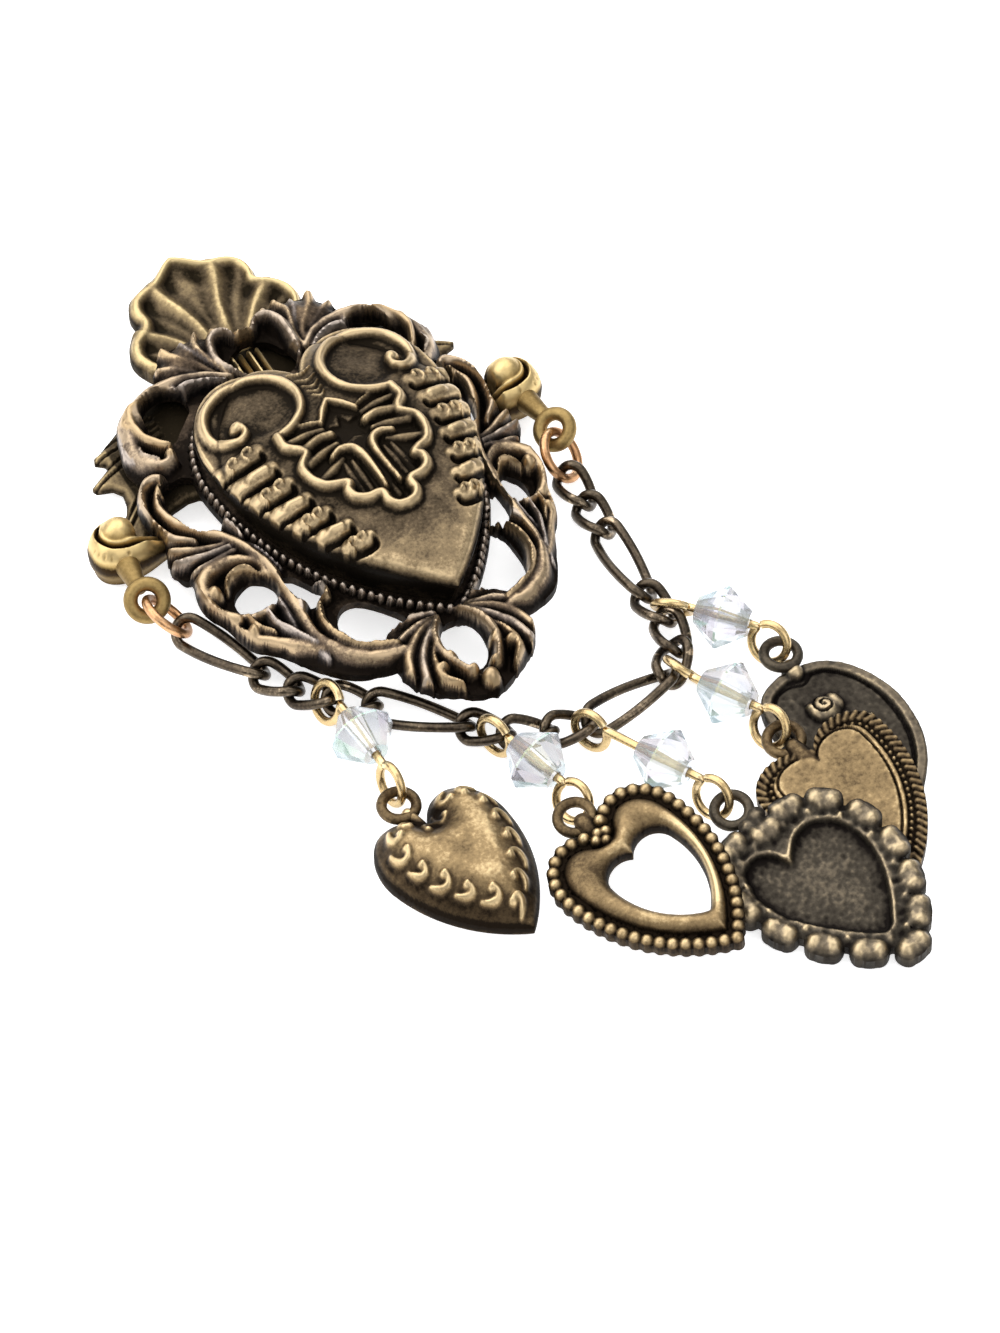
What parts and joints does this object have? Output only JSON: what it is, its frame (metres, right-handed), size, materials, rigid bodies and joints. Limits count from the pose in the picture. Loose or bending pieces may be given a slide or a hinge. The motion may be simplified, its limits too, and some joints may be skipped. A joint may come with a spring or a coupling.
{
  "type": "drop brooch",
  "caption": "Antique brass brooch with a raised heart in a pierced scroll frame, a shell crest, a swag chain and heart charms hanging from faceted crystals.",
  "frame": {"origin": "middle of the pin stem, at the level of the surface the brooch lies on", "axes": "+Y up the brooch towards the shell, +X to the viewer's right across the volutes, +Z out of the front face"},
  "size_m": [0.0464, 0.0829, 0.0099],
  "materials": {
    "antique_brass": "darkened cast relief, rubbed bright on the crests",
    "antique_bronze": "dark patina with golden and grey highlights",
    "charm_bronze": "dark patina with tan highlights",
    "gold_wire": "satin drawn wire",
    "copper_ring": "antique copper wire",
    "chain_gunmetal": "gunmetal plated wire",
    "crystal": "clear faceted glass with faint coloured glints"
  },
  "bodies": {
    "root": {"back_plate": "antique_brass", "scroll_frame": "antique_bronze", "heart_front": "antique_brass", "pin_back": "gold_wire", "jump_ring_left": "copper_ring", "jump_ring_right": "copper_ring", "link_01": "chain_gunmetal", "link_02": "chain_gunmetal", "link_03": "chain_gunmetal", "link_04": "chain_gunmetal", "link_05": "chain_gunmetal", "link_06": "chain_gunmetal", "link_07": "chain_gunmetal", "link_08": "chain_gunmetal", "link_09": "chain_gunmetal", "link_10": "chain_gunmetal", "link_11": "chain_gunmetal", "link_12": "chain_gunmetal", "link_13": "chain_gunmetal", "link_14": "chain_gunmetal", "link_15": "chain_gunmetal", "eye_wire_1": "gold_wire", "eye_wire_2": "gold_wire", "eye_wire_3": "gold_wire", "eye_wire_4": "gold_wire", "eye_wire_5": "gold_wire", "crystal_1": "crystal", "crystal_2": "crystal", "crystal_3": "crystal", "crystal_4": "crystal", "crystal_5": "crystal", "charm_puffed": "charm_bronze", "charm_open": "charm_bronze", "charm_studded": "charm_bronze", "charm_roped": "charm_bronze", "charm_rose": "charm_bronze"}
  },
  "joints": []
}
